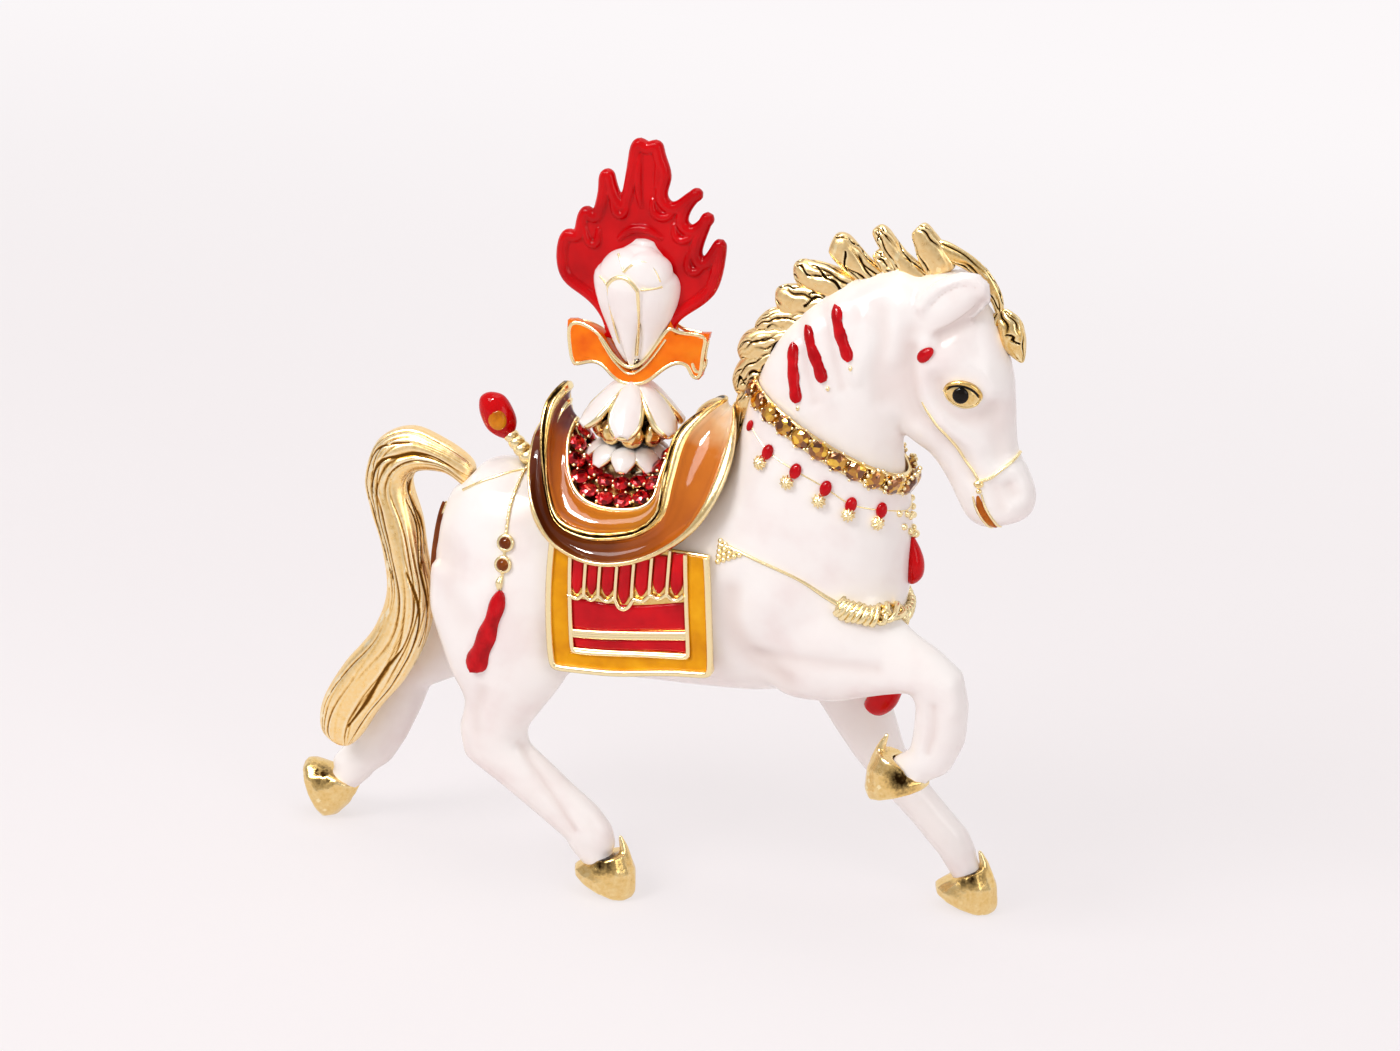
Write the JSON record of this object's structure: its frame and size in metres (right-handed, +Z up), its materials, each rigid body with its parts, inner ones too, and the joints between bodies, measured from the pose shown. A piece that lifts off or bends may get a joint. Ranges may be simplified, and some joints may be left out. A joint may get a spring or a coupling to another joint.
{
  "type": "horse statuette",
  "caption": "Trotting horse statuette, gold-plated and enamelled, with saddle, cloth and harness; it carries a lotus with a flaming jewel and stands on its hoof tips.",
  "frame": {"origin": "middle of the bounding box at the height of the three standing hoof tips", "axes": "+X from tail to head, +Y to the horse's left side, +Z up"},
  "size_m": [0.0884, 0.0218, 0.0917],
  "materials": {
    "gold_plate": "bright gold plating over cast zinc alloy, dark antique wash left in the grooves",
    "white_enamel": "glossy pearly white cold enamel over cast zinc alloy",
    "red_enamel": "glossy translucent red cold enamel over cast metal",
    "yellow_enamel": "glossy opaque yellow-orange cold enamel",
    "amber_enamel": "glossy translucent amber-brown enamel over gold",
    "orange_enamel": "glossy translucent orange enamel over gold",
    "ruby_crystal": "foil-backed cut glass, deep red, in prong settings",
    "topaz_crystal": "foil-backed cut glass, amber-brown, in cup settings",
    "pin_steel": "plated steel wire"
  },
  "bodies": {
    "root": {"torso": "white_enamel", "head": "white_enamel", "leg_hind_right": "white_enamel", "leg_hind_left": "white_enamel", "leg_fore_left": "white_enamel", "leg_fore_right": "white_enamel", "hoof_hind_right": "gold_plate", "hoof_hind_left": "gold_plate", "hoof_fore_left": "gold_plate", "hoof_fore_right": "gold_plate", "tail": "gold_plate", "mane": "gold_plate", "forelock": "gold_plate", "collar": "topaz_crystal", "cloth_right": "gold_plate", "cloth_border_right": "yellow_enamel", "cloth_panel_right": "red_enamel", "cloth_grid_right": "gold_plate", "cloth_left": "gold_plate", "cloth_border_left": "yellow_enamel", "cloth_panel_left": "red_enamel", "cloth_grid_left": "gold_plate", "saddle": "gold_plate", "skirt_enamel": "amber_enamel", "seat_band_enamel": "orange_enamel", "pave": "ruby_crystal", "finial_pin": "pin_steel", "lotus_lower": "white_enamel", "bead_ring": "gold_plate", "lotus_upper": "white_enamel", "bud": "white_enamel", "flame": "red_enamel", "ribbon": "orange_enamel", "neck_stripe_1_right": "red_enamel", "neck_stripe_2_right": "red_enamel", "neck_stripe_3_right": "red_enamel", "eye_right": "gold_plate", "cheek_stud_right": "red_enamel", "hip_tassel_right": "red_enamel", "breast_strap_right": "gold_plate", "neck_stripe_1_left": "red_enamel", "neck_stripe_2_left": "red_enamel", "neck_stripe_3_left": "red_enamel", "eye_left": "gold_plate", "cheek_stud_left": "red_enamel", "hip_tassel_left": "red_enamel", "breast_strap_left": "gold_plate", "chest_garland": "gold_plate", "breast_rope": "gold_plate", "chest_drop": "red_enamel", "chest_tassel": "red_enamel", "bridle": "gold_plate", "mouth_inlay": "amber_enamel", "hip_harness": "gold_plate", "croup_jewel": "red_enamel", "rump_pendant": "amber_enamel"}
  },
  "joints": []
}
